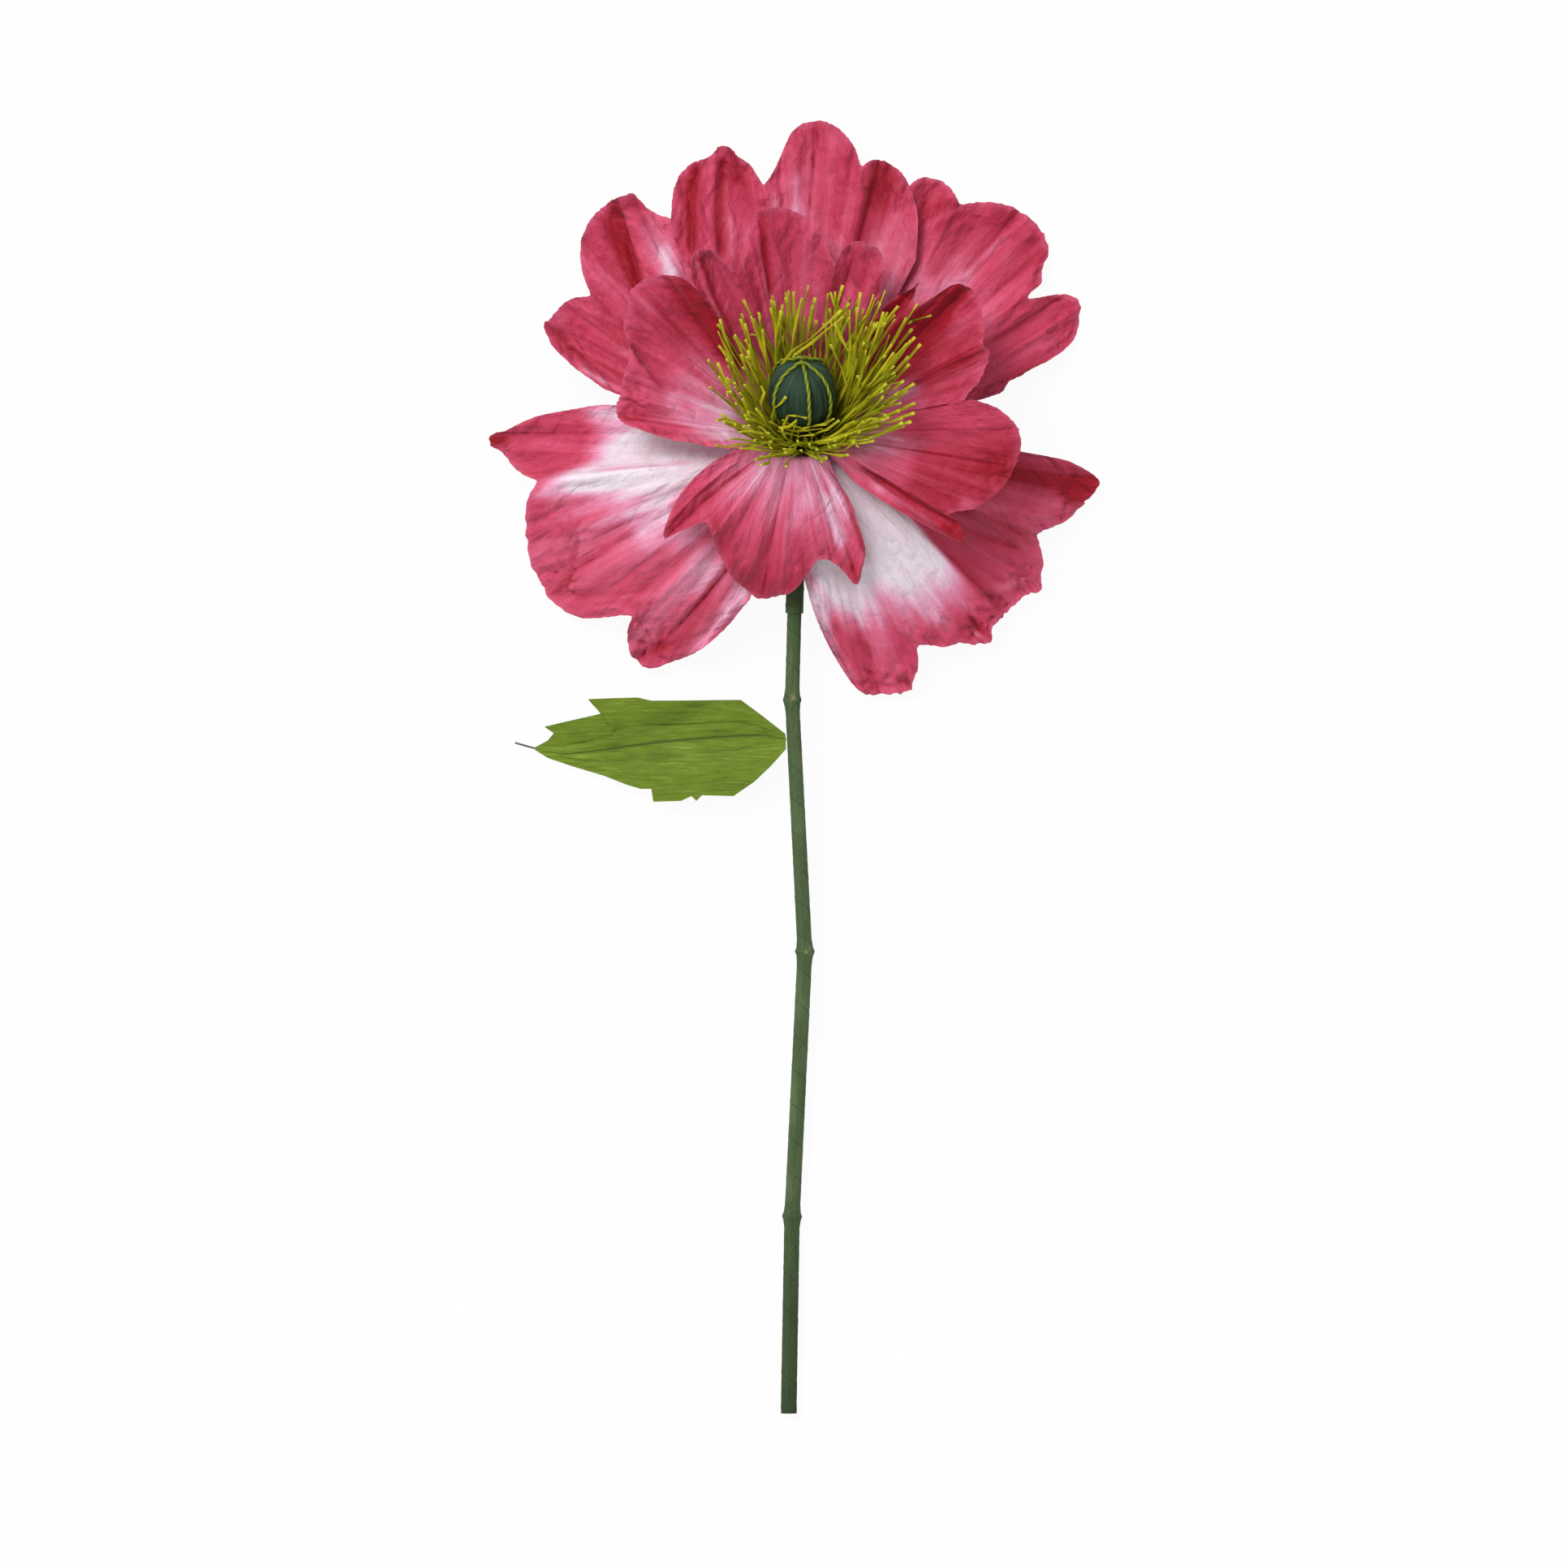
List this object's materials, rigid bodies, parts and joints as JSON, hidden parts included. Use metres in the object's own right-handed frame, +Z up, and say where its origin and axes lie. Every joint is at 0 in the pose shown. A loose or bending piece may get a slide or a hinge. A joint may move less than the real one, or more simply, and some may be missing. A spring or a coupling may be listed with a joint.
{
  "type": "paper poppy",
  "caption": "Long-stemmed paper poppy lying face up: two whorls of lobed pleated petals, string stamens round a corded pod, taped cane stem and one leaf.",
  "frame": {"origin": "centre of the stem's square-cut lower end", "axes": "+Y runs up the stem towards the head, +Z is up from the table the flower lies on, which is 4.95 mm below the origin, and +X is to the right of the head seen from above"},
  "size_m": [0.3729, 0.8009, 0.1129],
  "materials": {
    "petal_paper": "dip-dyed paper, white at the claw to crimson at the rim, matte",
    "leaf_paper": "green crepe paper, matte",
    "stem_tape": "green crepe tape, matte",
    "cane": "dry cane",
    "pod_paper": "dark green paper, matte",
    "pod_ball": "pressed paper ball",
    "pod_cord": "twisted yellow-green paper cord",
    "stamen_paper": "twisted yellow-green paper strings",
    "wire": "florist's wire"
  },
  "bodies": {
    "root": {"bamboo_cane": "cane", "stem_tape": "stem_tape", "neck_wrap": "stem_tape", "head_wire": "wire", "binding_wire": "wire", "pod_ball": "pod_ball", "pod_cover": "pod_paper", "pod_cord_middle": "pod_cord", "pod_cord_front": "pod_cord", "pod_cord_back": "pod_cord", "stamen_fringe_inner": "stamen_paper", "stamen_fringe_outer": "stamen_paper", "inner_petal_top": "petal_paper", "inner_petal_right": "petal_paper", "inner_petal_lower_right": "petal_paper", "inner_petal_bottom": "petal_paper", "inner_petal_left": "petal_paper", "outer_petal_top": "petal_paper", "outer_petal_upper_right": "petal_paper", "outer_petal_lower_right": "petal_paper", "outer_petal_lower_left": "petal_paper", "outer_petal_left": "petal_paper", "leaf_blade": "leaf_paper", "leaf_wire": "wire"}
  },
  "joints": []
}
